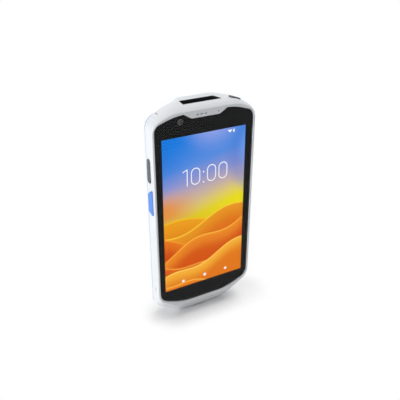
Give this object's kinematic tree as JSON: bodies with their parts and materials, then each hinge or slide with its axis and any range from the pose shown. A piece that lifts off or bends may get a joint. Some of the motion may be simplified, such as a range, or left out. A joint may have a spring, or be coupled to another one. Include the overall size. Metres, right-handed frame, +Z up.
{
  "type": "portable barcode data terminal",
  "caption": "Slim handheld data terminal with a touch display, an upward barcode imager window, side scan and function keys, a power key and a latched battery that tilts out of the back.",
  "frame": {"origin": "under the middle of the body's bounding box, on the plane of the flat foot at the bottom end", "axes": "+Z up the length of the device towards the scan window, +Y from the display to the battery, +X to the user's right when looking at the display"},
  "size_m": [0.0758, 0.0186, 0.155],
  "materials": {
    "white_shell": "fine satin",
    "pale_blue_seal": "matt",
    "dark_glass": "polished",
    "clear_glass": "polished",
    "display": "gloss",
    "black_plastic": "matt",
    "grey_key": "matt",
    "blue_key": "satin",
    "circuit_board": "satin",
    "bright_steel": "satin",
    "screw_steel": "satin",
    "cast_frame": "bead blasted",
    "cell_wrap": "satin",
    "gold_contact": "satin",
    "mesh": "matt",
    "flash_yellow": "gloss"
  },
  "bodies": {
    "body": {"front_bezel": "white_shell", "rear_housing": "white_shell", "housing_seal": "pale_blue_seal", "touch_glass": "dark_glass", "glass_gasket": "black_plastic", "display_panel": "display", "key_board_left": "circuit_board", "key_board_right": "circuit_board", "power_switch_board": "circuit_board", "key_domes": "bright_steel", "mid_frame": "cast_frame", "main_board": "circuit_board", "board_shields": "bright_steel", "board_screws": "screw_steel", "housing_screws": "screw_steel", "scan_window": "clear_glass", "window_hood": "black_plastic", "imager_engine": "black_plastic", "imager_lens": "dark_glass", "aiming_lights": "clear_glass", "receiver": "black_plastic", "receiver_mesh": "mesh", "speaker_mesh": "mesh", "loudspeaker": "black_plastic", "microphones": "bright_steel", "vibration_motor": "bright_steel", "front_camera": "black_plastic", "rear_camera": "black_plastic", "rear_camera_window": "dark_glass", "flash_window": "clear_glass", "flash_led": "flash_yellow", "io_connector": "bright_steel", "io_contacts": "black_plastic", "battery_contact_block": "black_plastic", "battery_contact_fingers": "gold_contact", "rear_contacts": "gold_contact", "rear_contact_board": "circuit_board", "memory_card_holder": "bright_steel"},
    "battery": {"battery_cover": "white_shell", "battery_tray": "black_plastic", "battery_terminals": "gold_contact", "battery_cell": "cell_wrap"},
    "latch_left": {"battery_latch_left": "grey_key"},
    "latch_right": {"battery_latch_right": "grey_key"},
    "scan_key_left": {"scan_button_left": "blue_key"},
    "scan_key_right": {"scan_button_right": "blue_key"},
    "programmable_key": {"programmable_button": "grey_key"},
    "volume_key": {"volume_rocker": "grey_key"},
    "power_key": {"power_button": "grey_key"}
  },
  "joints": [
    {"name": "battery_tilt", "type": "hinge", "parent": "body", "child": "battery", "pos_m": [0, 0.0078, 0.0255], "axis": [-1, 0, 0], "range_deg": [0, 40]},
    {"name": "latch_left_slide", "type": "slide", "parent": "battery", "child": "latch_left", "axis": [0, 0, -1], "range_m": [0, 0.0016], "stiffness_N_per_m": 400},
    {"name": "latch_right_slide", "type": "slide", "parent": "battery", "child": "latch_right", "axis": [0, 0, -1], "range_m": [0, 0.0016], "stiffness_N_per_m": 400},
    {"name": "scan_left_press", "type": "slide", "parent": "body", "child": "scan_key_left", "axis": [1, 0, 0], "range_m": [0, 0.0004], "stiffness_N_per_m": 3000},
    {"name": "scan_right_press", "type": "slide", "parent": "body", "child": "scan_key_right", "axis": [-1, 0, 0], "range_m": [0, 0.0004], "stiffness_N_per_m": 3000},
    {"name": "programmable_press", "type": "slide", "parent": "body", "child": "programmable_key", "axis": [1, 0, 0], "range_m": [0, 0.0004], "stiffness_N_per_m": 3000},
    {"name": "volume_rock", "type": "hinge", "parent": "body", "child": "volume_key", "pos_m": [0.03478, -0.00305, 0.1142], "axis": [0, 1, 0], "range_deg": [-1.8, 1.8], "stiffness_Nm_per_rad": 0.2},
    {"name": "power_press", "type": "slide", "parent": "body", "child": "power_key", "axis": [-0.3354, 0, -0.9421], "range_m": [0, 0.0004], "stiffness_N_per_m": 3000}
  ]
}
